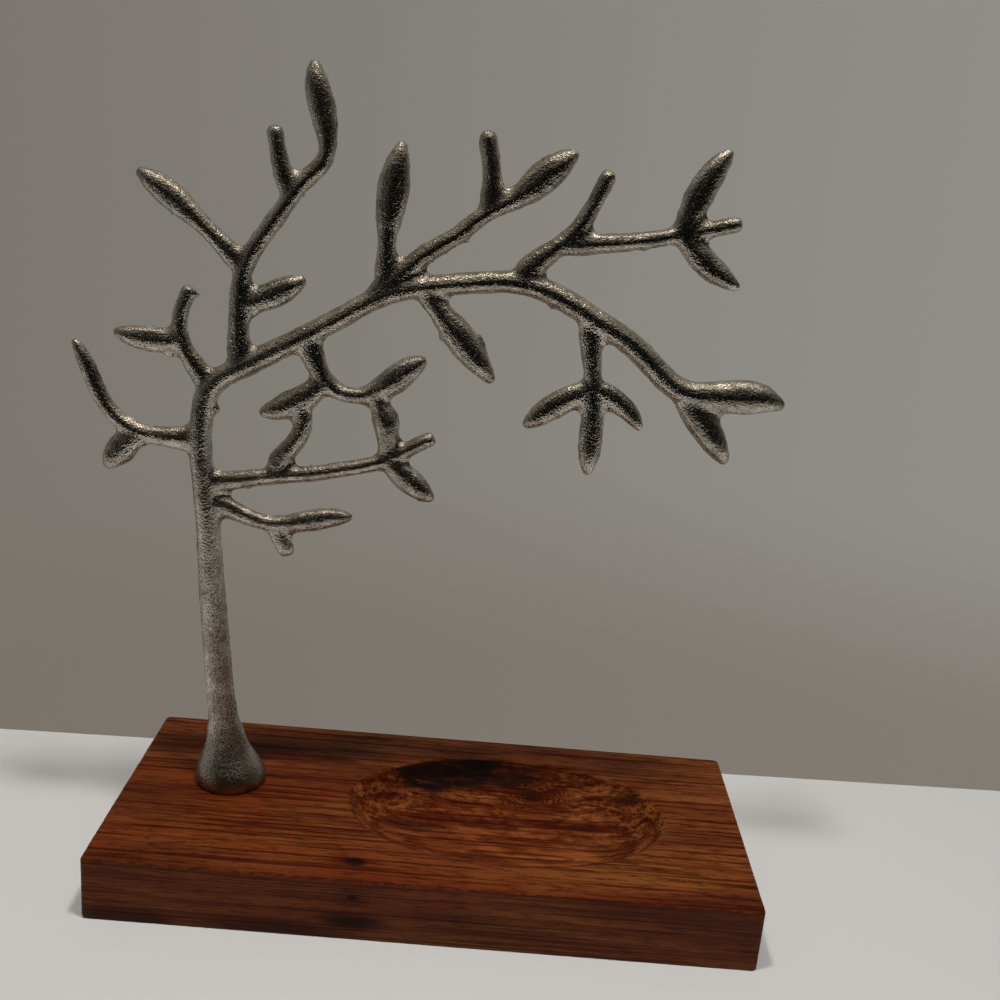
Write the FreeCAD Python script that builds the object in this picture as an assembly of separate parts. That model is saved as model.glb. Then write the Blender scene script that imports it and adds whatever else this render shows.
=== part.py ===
import FreeCAD, Part
import math
import os

# Jewelry tree: a flat sand-cast metal tree, screwed from below to a hardwood block with a carved dish.
# Millimetres. The origin is the middle of the block's underside, X runs along the block to the right,
# Y runs away from the viewer and Z is up.

# Hardwood block
BASE_LENGTH = 254.0
BASE_DEPTH = 114.0
BASE_HEIGHT = 25.4
BASE_EDGE_RADIUS = 1.5

# Oval dish, placed by its distances from the tree's foot and from the block's sides. From an eased lip its
# wall sweeps in to a flat floor
DISH_FOOT_GAP = 51.0
DISH_END_MARGIN = 32.0
DISH_FRONT_MARGIN = 17.0
DISH_BACK_MARGIN = 16.0
DISH_DEPTH = 11.0
DISH_LIP = 1.2
DISH_BROW_INSET = 1.1
DISH_BROW_DEPTH = 1.4
DISH_WALL_INSET = 5.0
DISH_WALL_SHARE = 0.46
DISH_SWEEP_INSET = 13.0
DISH_SWEEP_SHARE = 0.85
DISH_FLOOR_INSET = 27.0
DISH_SIDES = 44

# Place of the tree's foot on the block
FOOT_INSET = 41.0
FOOT_SETBACK = 49.5

# Screw, washer and their holes
SCREW_DIAMETER = 6.0
SCREW_ENGAGEMENT = 12.0
SCREW_HEAD_DIAMETER = 12.0
SCREW_HEAD_HEIGHT = 4.2
SCREW_CROWN_SLOPE = 1.4
RECESS_WIDTH = 1.5
RECESS_LENGTH = 6.4
RECESS_DEPTH = 2.4
WASHER_DIAMETER = 18.0
WASHER_THICKNESS = 1.6
COUNTERBORE_DIAMETER = 21.0
COUNTERBORE_DEPTH = 9.0
HOLE_CLEARANCE = 0.6
TAPPED_CLEARANCE = 0.1
TAPPED_RUNOUT = 3.0

# Foot and trunk of the casting, as half-widths. The foot flares from inside the trunk to a rolled rim
FOOT_SOLE_RADIUS = 13.9
FOOT_RADIUS = 14.3
FOOT_ROLL_HEIGHT = 1.3
ANKLE_RADIUS = 7.4
ANKLE_HEIGHT = 21.0
FOOT_TOP_RADIUS = 4.8
FOOT_HEIGHT = 33.0
TRUNK_RADIUS = 6.0
SHIN_RADIUS = 5.3
SHIN_HEIGHT = 50.0
TRUNK_TOP_RADIUS = 4.3

# Half-widths of limbs, from the heavy bough that goes on from the trunk down to the free twigs
BOUGH_RADIUS = 4.1
BOUGH_WAIST_RADIUS = 3.7
BOUGH_END_RADIUS = 4.3
LIMB_RADIUS = 3.6
BRANCH_RADIUS = 3.2
TWIG_RADIUS = 2.8

# Leaves: a thin neck, a plump middle and a taper to a blunt tip
LEAF_NECK_RADIUS = 3.0
LEAF_NECK_LENGTH = 17.0
LEAF_NECK_SHARE = 0.2
LEAF_TIP_RADIUS = 1.2
LEAF_TIP_TAPER = 2.4

# A free twig ends in a cap that is this share of a full half-round
TWIG_ROUNDING = 0.8

# Thickness across the parting plane, as a share of the half-width. A limb starts thinner than its parent,
# so that its ridge runs into the parent's side below the parent's own ridge
LIMB_THICKNESS = 0.92
LEAF_THICKNESS = 0.68
ROOT_THICKNESS = 0.8
ROOT_LENGTH = 12.0

# Cast swelling where a limb leaves the one that carries it
ROOT_FLARE = 0.35
ROOT_FLARE_REACH = 4.5

# Sections of a limb: number of sides, greatest distance apart, and closer steps towards a rounded end
FOOT_SIDES = 20
TRUNK_SIDES = 12
LIMB_SIDES = 8
SECTION_SPACING = 7.5
TWIG_STEPS = (2.3, 1.4, 0.8, 0.4, 0.0)
LEAF_STEPS = (0.25, 0.5, 0.75, 0.9, 1.0)

# Forks: points (x, z) that two or more limbs share, from the middle of the foot's sole
FORKS = {
    "trunk_twin_low": (-11.5, 120.0),
    "trunk_low": (-12.5, 128.0),
    "trunk_left": (-14.0, 145.0),
    "trunk_head": (-10.5, 165.5),
    "bough_crown": (0.5, 174.3),
    "bough_hanger": (26.0, 189.1),
    "bough_second": (49.0, 203.5),
    "bough_drop_leaf": (67.0, 210.0),
    "bough_right": (103.0, 214.5),
    "bough_pendant": (130.5, 204.3),
    "bough_end": (164.5, 180.8),
    "crown_low": (0.0, 198.0),
    "crown_mid": (1.5, 211.5),
    "crown_high": (18.5, 239.0),
    "left_leaf": (-37.0, 146.5),
    "head_leaf": (-21.3, 183.0),
    "second_leaf": (54.0, 209.0),
    "second_end": (88.5, 238.0),
    "right_arm": (116.6, 229.3),
    "right_end": (160.5, 236.8),
    "pendant_end": (133.8, 178.0),
    "hanger_leaf": (33.5, 172.0),
    "hanger_tie": (49.0, 168.3),
    "low_link": (15.5, 133.3),
    "loop_tie": (23.4, 161.0),
    "low_leaf": (57.8, 143.3),
    "twin_twig": (14.5, 113.8),
}

# The trunk and the bough that goes on from it to a leaf at the far right: the last two points of this
# path, as of every path that ends in a leaf, are the leaf's widest point and its tip
SPINE = [
    (0.0, 0.0), (-1.3, 10.5), (-2.9, 24.0), (-4.3, 34.0), (-6.3, 55.0), (-9.1, 87.0),
    "trunk_twin_low", "trunk_low", "trunk_left", (-13.3, 156.0), "trunk_head", (-4.5, 171.3), (4.0, 176.2),
    (13.5, 181.8), "bough_hanger", (35.5, 194.9), "bough_second", (58.0, 207.6), "bough_drop_leaf",
    (81.0, 212.4), (94.0, 214.3), "bough_right", (112.0, 212.8), (122.0, 208.8), "bough_pendant",
    (142.0, 198.2), (153.5, 190.0), "bough_end", (175.0, 178.3), (189.0, 179.0), (206.2, 176.6),
]
SPINE_LEAF_RADIUS = 6.4

# Limbs that end in a bud-shaped leaf: path, half-width at the root, half-width of the leaf
LEAFY_LIMBS = {
    "crown": (
        ["bough_crown", (0.0, 189.0), "crown_low", "crown_mid", (7.3, 222.3), (13.8, 232.0), "crown_high",
         (25.2, 247.0), (29.8, 252.3), (30.5, 259.0), (27.8, 271.5), (25.2, 285.5)], LIMB_RADIUS, 4.9),
    "left": (
        ["trunk_left", (-26.8, 145.3), "left_leaf", (-44.2, 149.8), (-50.4, 156.5), (-55.8, 167.5),
         (-61.7, 179.9)], LIMB_RADIUS, 3.2),
    "second": (
        ["bough_second", "second_leaf", (60.3, 215.0), (69.0, 223.0), (80.0, 230.5), "second_end",
         (98.5, 244.0), (108.0, 252.0), (119.6, 262.2)], LIMB_RADIUS, 5.7),
    "pendant": (
        ["bough_pendant", (132.1, 190.5), "pendant_end", (135.0, 159.5), (134.8, 144.2)], LIMB_RADIUS, 4.7),
    "hanger": (
        ["bough_hanger", (28.0, 181.5), "hanger_leaf", (38.8, 168.2), "hanger_tie", (59.5, 175.0),
         (70.3, 183.6)], LIMB_RADIUS, 5.3),
    "twin_low": (
        ["trunk_twin_low", (-1.5, 118.3), (7.0, 115.0), "twin_twig", (30.5, 116.5), (45.7, 118.9)],
        BRANCH_RADIUS, 4.4),
    "crown_left_leaf": (["crown_mid", (-24.5, 234.8), (-37.4, 243.6)], LEAF_NECK_RADIUS, 4.9),
    "crown_right_leaf": (["crown_low", (13.8, 203.4), (23.8, 209.7)], LEAF_NECK_RADIUS, 4.5),
    "head_leaf": (["head_leaf", (-34.0, 182.7), (-46.6, 184.6)], LEAF_NECK_RADIUS, 4.1),
    "left_leaf": (["left_leaf", (-44.9, 138.6), (-50.6, 131.5)], LEAF_NECK_RADIUS, 4.6),
    "loop_leaf": (["hanger_leaf", (21.0, 162.4), (8.6, 157.6)], LEAF_NECK_RADIUS, 4.8),
    "low_leaf": (["low_leaf", (67.7, 135.0), (76.3, 128.8)], LEAF_NECK_RADIUS, 4.4),
    "second_left_leaf": (["second_leaf", (54.5, 241.0), (57.4, 260.9)], LEAF_NECK_RADIUS, 5.8),
    "drop_leaf": (["bough_drop_leaf", (83.0, 192.2), (95.8, 177.1)], LEAF_NECK_RADIUS, 5.7),
    "arm_upper_leaf": (["right_end", (165.6, 252.6), (174.2, 267.3)], LIMB_RADIUS, 4.8),
    "arm_lower_leaf": (["right_end", (171.0, 226.8), (183.5, 219.3)], LEAF_NECK_RADIUS, 4.2),
    "pendant_left_leaf": (["pendant_end", (119.5, 169.3), (109.4, 161.1)], LEAF_NECK_RADIUS, 4.5),
    "pendant_right_leaf": (["pendant_end", (144.2, 173.0), (153.6, 163.4)], LEAF_NECK_RADIUS, 3.5),
    "end_lower_leaf": (["bough_end", (177.0, 167.5), (187.5, 153.1)], LEAF_NECK_RADIUS, 5.5),
}

# Limbs that end in a blunt, rounded twig: path, half-width at the root, half-width at the end
TWIGGY_LIMBS = {
    "head": (
        ["trunk_head", (-17.5, 175.8), "head_leaf", (-22.0, 191.5), (-20.2, 198.0), (-18.0, 203.3)],
        BRANCH_RADIUS, TWIG_RADIUS),
    "right": (
        ["bough_right", (109.7, 223.5), "right_arm", (124.2, 238.0), (128.4, 247.0), (132.5, 256.5)],
        LIMB_RADIUS, TWIG_RADIUS),
    "right_arm": (
        ["right_arm", (128.8, 231.0), (143.4, 232.8), "right_end", (168.5, 238.8), (181.2, 242.5)],
        BRANCH_RADIUS, TWIG_RADIUS),
    "low": (
        ["trunk_low", (-1.3, 130.0), "low_link", (29.0, 135.3), (44.0, 138.8), "low_leaf", (66.5, 148.5),
         (75.3, 153.3)], BRANCH_RADIUS, TWIG_RADIUS),
    "crown_twig": (["crown_high", (14.3, 249.0), (12.6, 256.0), (11.5, 262.5)], TWIG_RADIUS, TWIG_RADIUS),
    "second_twig": (["second_end", (90.4, 247.3), (89.2, 256.6), (87.6, 266.8)], TWIG_RADIUS, BRANCH_RADIUS),
    "twin_twig": (["twin_twig", (18.0, 108.0), (20.7, 101.2)], TWIG_RADIUS, TWIG_RADIUS),
}

# Limbs that run from one limb into another and close a loop: path, half-width at root, middle and end
TIES = {
    "low_link": (
        ["low_link", (19.3, 143.5), (25.0, 152.0), "loop_tie"], BRANCH_RADIUS, BRANCH_RADIUS, BRANCH_RADIUS),
    "tie_leaf": (["hanger_tie", (54.8, 163.0), (57.2, 155.5), "low_leaf"], TWIG_RADIUS, 4.4, TWIG_RADIUS),
}

FOOT_X = FOOT_INSET - BASE_LENGTH / 2
FOOT_Y = BASE_DEPTH / 2 - FOOT_SETBACK
SCREW_SEAT = COUNTERBORE_DEPTH - WASHER_THICKNESS
SCREW_TIP = BASE_HEIGHT + SCREW_ENGAGEMENT
HOLE_DIAMETER = SCREW_DIAMETER + HOLE_CLEARANCE
TAPPED_DIAMETER = SCREW_DIAMETER + TAPPED_CLEARANCE
UP = FreeCAD.Vector(0, 0, 1)


def upright_cylinder(diameter, bottom, top):
    # Cylinder on the foot's axis
    return Part.makeCylinder(diameter / 2, top - bottom, FreeCAD.Vector(FOOT_X, FOOT_Y, bottom))


def oval_ring(centre, half_side, half_depth, sides):
    # Corners of an oval section, counted round from the end of its first half-axis
    turns = [2 * math.pi * corner / sides for corner in range(sides)]
    return [centre + half_side * math.cos(turn) + half_depth * math.sin(turn) for turn in turns]


def skinned(rings, distances):
    # Solid with one smooth lengthwise strip for each side of its rings, and a flat face at each end
    strands = []
    for corners in zip(*rings):
        strand = Part.BSplineCurve()
        strand.interpolate(Points=list(corners), Parameters=distances)
        strands.append(strand)
    faces = [Part.Face(Part.makePolygon(ring + ring[:1])) for ring in (rings[0], rings[-1])]
    for strand, neighbour in zip(strands, strands[1:] + strands[:1]):
        strip = Part.BSplineSurface()
        strip.buildFromPolesMultsKnots(
            [strand.getPoles(), neighbour.getPoles()], [2, 2], strand.getMultiplicities(),
            [0, 1], strand.getKnots(), False, False, 1, strand.Degree)
        faces.append(strip.toShape())
    shell = Part.makeShell(faces)
    shell.sewShape()
    solid = Part.makeSolid(shell)
    if solid.Volume < 0:
        solid.reverse()
    return solid


def dish_cutter():
    left = FOOT_X + DISH_FOOT_GAP
    right = BASE_LENGTH / 2 - DISH_END_MARGIN
    front = DISH_FRONT_MARGIN - BASE_DEPTH / 2
    back = BASE_DEPTH / 2 - DISH_BACK_MARGIN
    profile = [
        (-DISH_LIP, -DISH_LIP), (0, 0), (DISH_BROW_INSET, DISH_BROW_DEPTH),
        (DISH_WALL_INSET, DISH_DEPTH * DISH_WALL_SHARE), (DISH_SWEEP_INSET, DISH_DEPTH * DISH_SWEEP_SHARE),
        (DISH_FLOOR_INSET, DISH_DEPTH),
    ]
    rings = []
    distances = [0]
    for inset, depth in profile:
        centre = FreeCAD.Vector((left + right) / 2, (front + back) / 2, BASE_HEIGHT - depth)
        half_length = FreeCAD.Vector((right - left) / 2 - inset, 0, 0)
        half_depth = FreeCAD.Vector(0, (back - front) / 2 - inset, 0)
        rings.append(oval_ring(centre, half_length, half_depth, DISH_SIDES))
    for (inset, depth), (next_inset, next_depth) in zip(profile, profile[1:]):
        distances.append(distances[-1] + math.hypot(next_inset - inset, next_depth - depth))
    return skinned(rings, distances)


def wood_base():
    corner = FreeCAD.Vector(-BASE_LENGTH / 2, -BASE_DEPTH / 2, 0)
    block = Part.makeBox(BASE_LENGTH, BASE_DEPTH, BASE_HEIGHT, corner)
    block = block.makeFillet(BASE_EDGE_RADIUS, block.Edges)
    block = block.cut(dish_cutter())
    block = block.cut(upright_cylinder(HOLE_DIAMETER, 0, BASE_HEIGHT))
    return block.cut(upright_cylinder(COUNTERBORE_DIAMETER, 0, COUNTERBORE_DEPTH))


def flat_washer():
    washer = upright_cylinder(WASHER_DIAMETER, SCREW_SEAT, COUNTERBORE_DEPTH)
    return washer.cut(upright_cylinder(HOLE_DIAMETER, SCREW_SEAT, COUNTERBORE_DEPTH))


def fixing_screw():
    # Pan-head machine screw, head down, with a cross recess
    shank = SCREW_DIAMETER / 2
    head = SCREW_HEAD_DIAMETER / 2
    crown = SCREW_SEAT - SCREW_HEAD_HEIGHT
    outline = [
        FreeCAD.Vector(0, 0, crown),
        FreeCAD.Vector(head - SCREW_CROWN_SLOPE, 0, crown),
        FreeCAD.Vector(head, 0, crown + SCREW_CROWN_SLOPE),
        FreeCAD.Vector(head, 0, SCREW_SEAT),
        FreeCAD.Vector(shank, 0, SCREW_SEAT),
        FreeCAD.Vector(shank, 0, SCREW_TIP),
        FreeCAD.Vector(0, 0, SCREW_TIP),
    ]
    half = Part.Face(Part.makePolygon(outline + outline[:1]))
    screw = half.revolve(FreeCAD.Vector(0, 0, 0), UP, 360)
    recess_corner = FreeCAD.Vector(-RECESS_LENGTH / 2, -RECESS_WIDTH / 2, crown)
    slot = Part.makeBox(RECESS_LENGTH, RECESS_WIDTH, RECESS_DEPTH, recess_corner)
    cross_slot = slot.copy()
    cross_slot.rotate(FreeCAD.Vector(0, 0, 0), UP, 90)
    screw = screw.cut(slot.fuse(cross_slot))
    screw.translate(FreeCAD.Vector(FOOT_X, FOOT_Y, 0))
    return screw


def skeleton_point(place):
    x, z = FORKS[place] if isinstance(place, str) else place
    return FreeCAD.Vector(x, 0, z)


def skeleton_path(places, upright_start=False):
    # Smooth curve through skeleton points in the parting plane
    points = [skeleton_point(place) for place in places]
    curve = Part.BSplineCurve()
    if upright_start:
        known = [True] + [False] * (len(points) - 1)
        curve.interpolate(Points=points, Tangents=[UP] * len(points), TangentFlags=known)
    else:
        curve.interpolate(Points=points)
    return curve.toShape()


def distance_to(path, place):
    # Distance along a path to one of its skeleton points
    return path.Curve.length(path.FirstParameter, path.Curve.parameter(skeleton_point(place)))


def cast_run(path, distances, half_width_at, thickness_at, swelling_at, sides):
    # Limb along a path, through oval rings at the given distances, with a corner on the parting line
    rings = []
    for distance in distances:
        place = path.getParameterByLength(distance)
        along = path.tangentAt(place)
        half_width = half_width_at(distance)
        half_side = FreeCAD.Vector(along.z, 0, -along.x) * (half_width * swelling_at(distance))
        half_depth = FreeCAD.Vector(0, half_width * thickness_at(distance), 0)
        rings.append(oval_ring(path.valueAt(place), half_side, half_depth, sides))
    return skinned(rings, distances)


def even_steps(start, end):
    count = max(2, math.ceil((end - start) / SECTION_SPACING))
    return [start + (end - start) * step / count for step in range(count + 1)]


def blended(stations, distance):
    # Value at a distance, eased between (distance, value) stations
    if distance <= stations[0][0]:
        return stations[0][1]
    for (near, low), (far, high) in zip(stations, stations[1:]):
        if distance <= far:
            share = (distance - near) / (far - near)
            return low + (high - low) * share * share * (3 - 2 * share)
    return stations[-1][1]


def root_swelling(distance):
    # Grows from the root to its greatest where the limb leaves its parent, then fades
    share = distance / ROOT_FLARE_REACH
    return 1 + ROOT_FLARE * share * math.exp(1 - share)


def leaf_ended(path, widest, widths, distance):
    # Half-width of a limb that draws in to its tip beyond its leaf's widest point
    beyond = max(0, distance - widest) / (path.Length - widest)
    return LEAF_TIP_RADIUS + (blended(widths, distance) - LEAF_TIP_RADIUS) * (1 - beyond ** LEAF_TIP_TAPER)


def leaf_steps(path, widest):
    return [widest + (path.Length - widest) * share for share in LEAF_STEPS]


def leafy_limb(places, root_radius, leaf_radius):
    path = skeleton_path(places)
    widest = distance_to(path, places[-2])
    neck = max(widest - LEAF_NECK_LENGTH, widest * LEAF_NECK_SHARE)
    widths = [(0, root_radius), (neck, LEAF_NECK_RADIUS), (widest, leaf_radius)]
    depths = [
        (0, ROOT_THICKNESS), (neck, LIMB_THICKNESS), (widest, LEAF_THICKNESS), (path.Length, LIMB_THICKNESS)]
    return cast_run(
        path, even_steps(0, widest) + leaf_steps(path, widest),
        lambda distance: leaf_ended(path, widest, widths, distance),
        lambda distance: blended(depths, distance), root_swelling, LIMB_SIDES)


def twiggy_limb(places, root_radius, end_radius):
    path = skeleton_path(places)
    shoulder = path.Length - end_radius
    widths = [(0, root_radius), (shoulder, end_radius)]
    depths = [(0, ROOT_THICKNESS), (ROOT_LENGTH, LIMB_THICKNESS)]

    def half_width_at(distance):
        beyond = max(0, distance - shoulder) / end_radius
        return blended(widths, distance) * math.sqrt(1 - (TWIG_ROUNDING * beyond) ** 2)

    ends = [path.Length - end_radius * step for step in TWIG_STEPS]
    return cast_run(
        path, even_steps(0, ends[0]) + ends[1:], half_width_at,
        lambda distance: blended(depths, distance), root_swelling, LIMB_SIDES)


def tie(places, root_radius, middle_radius, end_radius):
    path = skeleton_path(places)
    middle = path.Length / 2
    widths = [(0, root_radius), (middle, middle_radius), (path.Length, end_radius)]
    depths = [(0, ROOT_THICKNESS), (middle, LIMB_THICKNESS), (path.Length, ROOT_THICKNESS)]
    return cast_run(
        path, even_steps(0, path.Length), lambda distance: blended(widths, distance),
        lambda distance: blended(depths, distance), root_swelling, LIMB_SIDES)


def foot():
    # Flare with level sections that follow the trunk's lean
    path = skeleton_path(SPINE, upright_start=True)
    widths = [
        (0, FOOT_SOLE_RADIUS), (FOOT_ROLL_HEIGHT, FOOT_RADIUS), (ANKLE_HEIGHT, ANKLE_RADIUS),
        (FOOT_HEIGHT, FOOT_TOP_RADIUS),
    ]
    levels = [0, FOOT_ROLL_HEIGHT] + even_steps(FOOT_ROLL_HEIGHT * 2, FOOT_HEIGHT)
    rings = []
    for level in levels:
        centre = path.valueAt(path.getParameterByLength(level))
        radius = blended(widths, level)
        middle = FreeCAD.Vector(centre.x, 0, level)
        half_side = FreeCAD.Vector(radius, 0, 0)
        half_depth = FreeCAD.Vector(0, radius, 0)
        rings.append(oval_ring(middle, half_side, half_depth, FOOT_SIDES))
    return skinned(rings, levels)


def spine():
    # Trunk and main bough in one run
    path = skeleton_path(SPINE, upright_start=True)
    trunk_top = distance_to(path, "trunk_left")
    neck = distance_to(path, "bough_end")
    widest = distance_to(path, SPINE[-2])
    widths = [
        (0, TRUNK_RADIUS), (FOOT_HEIGHT / 2, TRUNK_RADIUS), (SHIN_HEIGHT, SHIN_RADIUS),
        (trunk_top, TRUNK_TOP_RADIUS), (distance_to(path, "bough_crown"), BOUGH_RADIUS),
        (distance_to(path, "bough_second"), BOUGH_WAIST_RADIUS), (neck, BOUGH_END_RADIUS),
        (widest, SPINE_LEAF_RADIUS),
    ]
    depths = [
        (0, 1), (trunk_top, LIMB_THICKNESS), (neck, LIMB_THICKNESS),
        (widest, LEAF_THICKNESS), (path.Length, LIMB_THICKNESS),
    ]
    return cast_run(
        path, even_steps(0, widest) + leaf_steps(path, widest),
        lambda distance: leaf_ended(path, widest, widths, distance),
        lambda distance: blended(depths, distance), lambda distance: 1, TRUNK_SIDES)


def cast_tree():
    runs = [foot()]
    runs += [leafy_limb(*row) for row in LEAFY_LIMBS.values()]
    runs += [twiggy_limb(*row) for row in TWIGGY_LIMBS.values()]
    runs += [tie(*row) for row in TIES.values()]
    tree = spine().multiFuse(runs)
    tree.translate(FreeCAD.Vector(FOOT_X, FOOT_Y, BASE_HEIGHT))
    return tree.cut(upright_cylinder(TAPPED_DIAMETER, BASE_HEIGHT, SCREW_TIP + TAPPED_RUNOUT))


os.makedirs("parts", exist_ok=True)
pieces = {
    "wood_base": wood_base(),
    "cast_tree": cast_tree(),
    "fixing_screw": fixing_screw(),
    "flat_washer": flat_washer(),
}
for name, shape in pieces.items():
    shape.exportStep(f"parts/{name}.step")
    box = shape.BoundBox
    print(
        f"{name}: {len(shape.Solids)} solid, valid {shape.isValid()}, {shape.Volume / 1000:.2f} cm3, "
        f"x {box.XMin:.1f} to {box.XMax:.1f}, y {box.YMin:.1f} to {box.YMax:.1f}, "
        f"z {box.ZMin:.1f} to {box.ZMax:.1f}")
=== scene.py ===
import math
import bmesh
import bpy
from mathutils import Matrix, Vector, noise


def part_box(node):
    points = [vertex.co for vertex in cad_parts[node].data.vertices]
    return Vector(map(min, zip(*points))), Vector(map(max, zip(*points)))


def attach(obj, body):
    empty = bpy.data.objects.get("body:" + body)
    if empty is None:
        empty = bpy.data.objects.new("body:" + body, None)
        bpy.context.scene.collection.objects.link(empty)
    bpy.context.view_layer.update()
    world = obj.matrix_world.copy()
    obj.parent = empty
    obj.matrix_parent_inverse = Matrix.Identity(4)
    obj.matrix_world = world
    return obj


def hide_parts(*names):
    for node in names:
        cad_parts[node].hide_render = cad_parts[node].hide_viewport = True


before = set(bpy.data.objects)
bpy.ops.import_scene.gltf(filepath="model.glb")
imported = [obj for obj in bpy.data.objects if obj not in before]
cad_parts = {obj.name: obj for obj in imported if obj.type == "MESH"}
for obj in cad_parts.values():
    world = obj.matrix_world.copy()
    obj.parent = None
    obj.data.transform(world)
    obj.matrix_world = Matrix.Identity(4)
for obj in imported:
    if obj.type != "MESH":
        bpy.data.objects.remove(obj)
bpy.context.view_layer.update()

mm = 0.001


def linear(code):                                    # sRGB hex to the linear colour that Blender mixes in
    parts = [int(code[i:i + 2], 16) / 255 for i in (1, 3, 5)]
    return tuple(p / 12.92 if p <= 0.04045 else ((p + 0.055) / 1.055) ** 2.4 for p in parts) + (1.0,)


mathNode, rangeNode, mixNode = "ShaderNodeMath", "ShaderNodeMapRange", "ShaderNodeMix"   # the kinds used most


def addNode(tree, kind, inputs=(), **settings):
    # inputs is a list in the node's own order, or a dictionary: a node or a socket is linked, the rest is set
    node = tree.nodes.new(kind)
    for key, value in settings.items():
        setattr(node, key, value)
    for key, value in inputs.items() if isinstance(inputs, dict) else enumerate(inputs):
        if isinstance(value, bpy.types.Node):
            value = next(out for out in value.outputs if out.enabled)
        if isinstance(value, bpy.types.NodeSocket):
            tree.links.new(value, node.inputs[key])
        else:
            node.inputs[key].default_value = value
    return node


def newMaterial(name):
    material = bpy.data.materials.new(name)
    material.use_nodes = True
    tree = material.node_tree
    tree.nodes.clear()
    coords = addNode(tree, "ShaderNodeTexCoord")
    inMm = addNode(tree, "ShaderNodeMapping", {"Vector": coords.outputs["Object"], "Scale": (1000, 1000, 1000)})
    shader = addNode(tree, "ShaderNodeBsdfPrincipled")
    addNode(tree, "ShaderNodeOutputMaterial", {"Surface": shader})
    return material, tree, inMm, shader


def patternInMm(tree, inMm, size, detail=2.0, roughness=0.5, shift=(0, 0, 0)):
    # size is the length of one blotch in mm along X, Y and Z
    spread = addNode(tree, "ShaderNodeMapping", {"Vector": inMm, "Location": shift, "Scale": [1 / s for s in size]})
    return addNode(tree, "ShaderNodeTexNoise",
                   {"Vector": spread, "Scale": 1.0, "Detail": detail, "Roughness": roughness})


def newGroup(name, wanted):
    # an empty tree with a geometry in and out, and a named input for each wanted size
    group = bpy.data.node_groups.new(name, "GeometryNodeTree")
    for way in ("INPUT", "OUTPUT"):
        group.interface.new_socket("Geometry", in_out=way, socket_type="NodeSocketGeometry")
    sockets = {key: group.interface.new_socket(key, in_out="INPUT", socket_type="NodeSocketFloat") for key in wanted}
    return (group, sockets, addNode(group, "NodeGroupInput"))


def dress(piece, group, sockets, wanted):
    layer = piece.modifiers.new(group.name, "NODES")
    layer.node_group = group
    for key, value in wanted.items():
        layer[sockets[key].identifier] = value


def pieceFrom(name, points, faces):
    mesh = bpy.data.meshes.new(name)
    mesh.from_pydata(points, [], faces)
    mesh.update()
    piece = bpy.data.objects.new(name, mesh)
    bpy.context.scene.collection.objects.link(piece)
    return piece


def bake(piece, material, smoothAngle):
    # the modifiers' result becomes the piece's own mesh
    graph = bpy.context.evaluated_depsgraph_get()
    mesh = bpy.data.meshes.new_from_object(piece.evaluated_get(graph))
    piece.modifiers.clear()
    old, piece.data = piece.data, mesh
    bpy.data.meshes.remove(old)
    tidy = bmesh.new()
    tidy.from_mesh(mesh)
    bmesh.ops.recalc_face_normals(tidy, faces=tidy.faces)
    tidy.to_mesh(mesh)
    tidy.free()
    mesh.materials.clear()
    mesh.materials.append(material)
    mesh.polygons.foreach_set("material_index", [0] * len(mesh.polygons))
    mesh.set_sharp_from_angle(angle=math.radians(smoothAngle))
    mesh.update()


def turned(name, profile, steps, at):
    # a lathe shape: profile is a list of (radius, height) in mm, closed at both ends on the axis
    points, faces = [], []
    for radius, height in profile:
        for k in range(steps):
            a = 2 * math.pi * k / steps
            points.append(((at[0] + radius * math.cos(a)) * mm, (at[1] + radius * math.sin(a)) * mm, height * mm))
    for ring in range(len(profile) - 1):
        for k in range(steps):
            a, b = ring * steps + k, ring * steps + (k + 1) % steps
            faces.append((a, b, b + steps, a + steps))
    if profile[0] != profile[-1]:
        faces.append(tuple(range(steps)))
        faces.append(tuple(range((len(profile) - 1) * steps, len(profile) * steps)))
    return pieceFrom(name, points, faces)


def cutAway(piece, cutter):
    # the cutter is dropped after the bake
    cut = piece.modifiers.new("cut", "BOOLEAN")
    cut.operation, cut.solver, cut.object = "DIFFERENCE", "EXACT", cutter


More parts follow.
